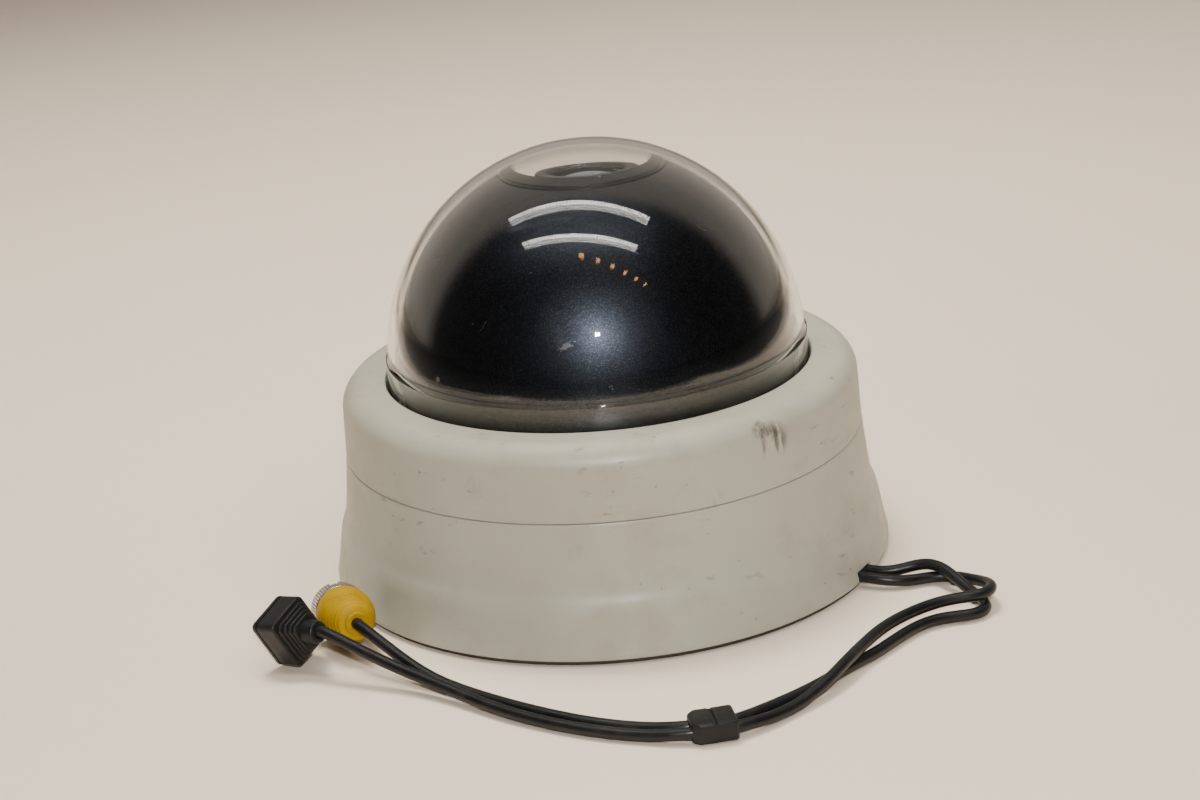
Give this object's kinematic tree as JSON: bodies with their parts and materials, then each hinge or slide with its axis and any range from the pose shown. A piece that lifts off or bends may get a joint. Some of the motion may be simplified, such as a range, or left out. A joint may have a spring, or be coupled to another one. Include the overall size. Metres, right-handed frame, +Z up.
{
  "type": "dome security camera",
  "caption": "Surface-mount dome camera: ivory round housing, clear dome over a black slotted inner dome, a gimballed varifocal lens, and two cords with video and power connectors.",
  "frame": {"origin": "centre of the round base on the surface it stands on", "axes": "+Z up through the dome, +Y towards the back, where the lens slot opens; the cords leave between +X and -Y"},
  "size_m": [0.1857, 0.1954, 0.113],
  "materials": {
    "ivory_plastic": "ivory moulded plastic with a fine satin grain",
    "black_plastic": "black moulded plastic, satin",
    "black_gloss": "polished black plastic",
    "clear_plastic": "clear polycarbonate",
    "black_steel": "black painted steel sheet",
    "black_rubber": "soft black rubber",
    "cord_jacket": "soft black cord jacket with a slight sheen",
    "steel": "plain screw steel",
    "nickel": "nickel plated",
    "gold": "gold plated contact",
    "yellow_plastic": "yellow soft moulded plastic",
    "board_green": "green circuit board",
    "cream_plastic": "cream moulded plastic",
    "lens_glass": "coated lens glass"
  },
  "bodies": {
    "base": {"base_plate": "black_steel", "lower_housing": "ivory_plastic", "chassis": "black_plastic", "cable_grommet": "black_rubber", "main_board": "board_green", "board_screw_1": "steel", "board_screw_2": "steel", "board_screw_3": "steel", "board_screw_4": "steel", "terminal_block": "cream_plastic", "board_capacitor": "black_plastic", "pan_base": "black_plastic", "pan_base_screw_1": "steel", "pan_base_screw_2": "steel", "pan_base_screw_3": "steel", "video_cord": "cord_jacket", "power_cord": "cord_jacket", "cord_clip": "black_plastic", "video_boot": "yellow_plastic", "video_insulator": "cream_plastic", "video_pin": "gold", "power_plug": "black_plastic", "power_contact_left": "gold", "power_contact_right": "gold"},
    "cover": {"upper_cover": "ivory_plastic", "clear_dome": "clear_plastic", "dome_seal": "black_rubber", "retaining_ring": "black_plastic", "retaining_screw_1": "steel", "retaining_screw_2": "steel", "retaining_screw_3": "steel", "retaining_screw_4": "steel"},
    "pan": {"pan_turntable": "black_plastic", "pan_retainer": "black_plastic", "black_liner": "black_gloss", "liner_screw_1": "steel", "liner_screw_2": "steel", "liner_screw_3": "steel", "tilt_yoke": "black_plastic", "yoke_screw_1": "steel", "yoke_screw_2": "steel"},
    "tilt": {"tilt_cradle": "black_plastic", "tilt_screw_right": "black_plastic", "tilt_screw_left": "black_plastic"},
    "module": {"module_sleeve": "black_plastic", "sensor_board": "board_green", "image_sensor": "cream_plastic", "lens_barrel": "black_plastic", "front_glass": "lens_glass"},
    "zoom": {"zoom_ring": "black_plastic", "zoom_lever": "steel"},
    "focus": {"focus_ring": "black_plastic", "focus_lever": "steel"},
    "coupling": {"video_coupling": "nickel"}
  },
  "joints": [
    {"name": "cover_lift", "type": "slide", "parent": "base", "child": "cover", "axis": [0, 0, 1], "range_m": [0, 0.075]},
    {"name": "pan_turn", "type": "hinge", "parent": "base", "child": "pan", "pos_m": [0, 0, 0.03], "axis": [0, 0, 1], "range_deg": [-172, 172]},
    {"name": "lens_tilt", "type": "hinge", "parent": "pan", "child": "tilt", "pos_m": [0.0012, 0, 0.05755], "axis": [1, 0, 0], "range_deg": [-64, 3]},
    {"name": "module_roll", "type": "hinge", "parent": "tilt", "child": "module", "pos_m": [0.0012, 0, 0.05755], "axis": [0, 0.0698, 0.9976], "range_deg": [-90, 90]},
    {"name": "zoom_turn", "type": "hinge", "parent": "module", "child": "zoom", "pos_m": [0.0012, 0, 0.05755], "axis": [0, 0.0698, 0.9976], "range_deg": [-40, 40]},
    {"name": "focus_turn", "type": "hinge", "parent": "module", "child": "focus", "pos_m": [0.0012, 0, 0.05755], "axis": [0, 0.0698, 0.9976], "range_deg": [-60, 60]},
    {"name": "coupling_turn", "type": "hinge", "parent": "base", "child": "coupling", "pos_m": [-0.0646, -0.0615, 0.0105], "axis": [-0.3535, 0.9208, -0.165], "continuous": true}
  ]
}
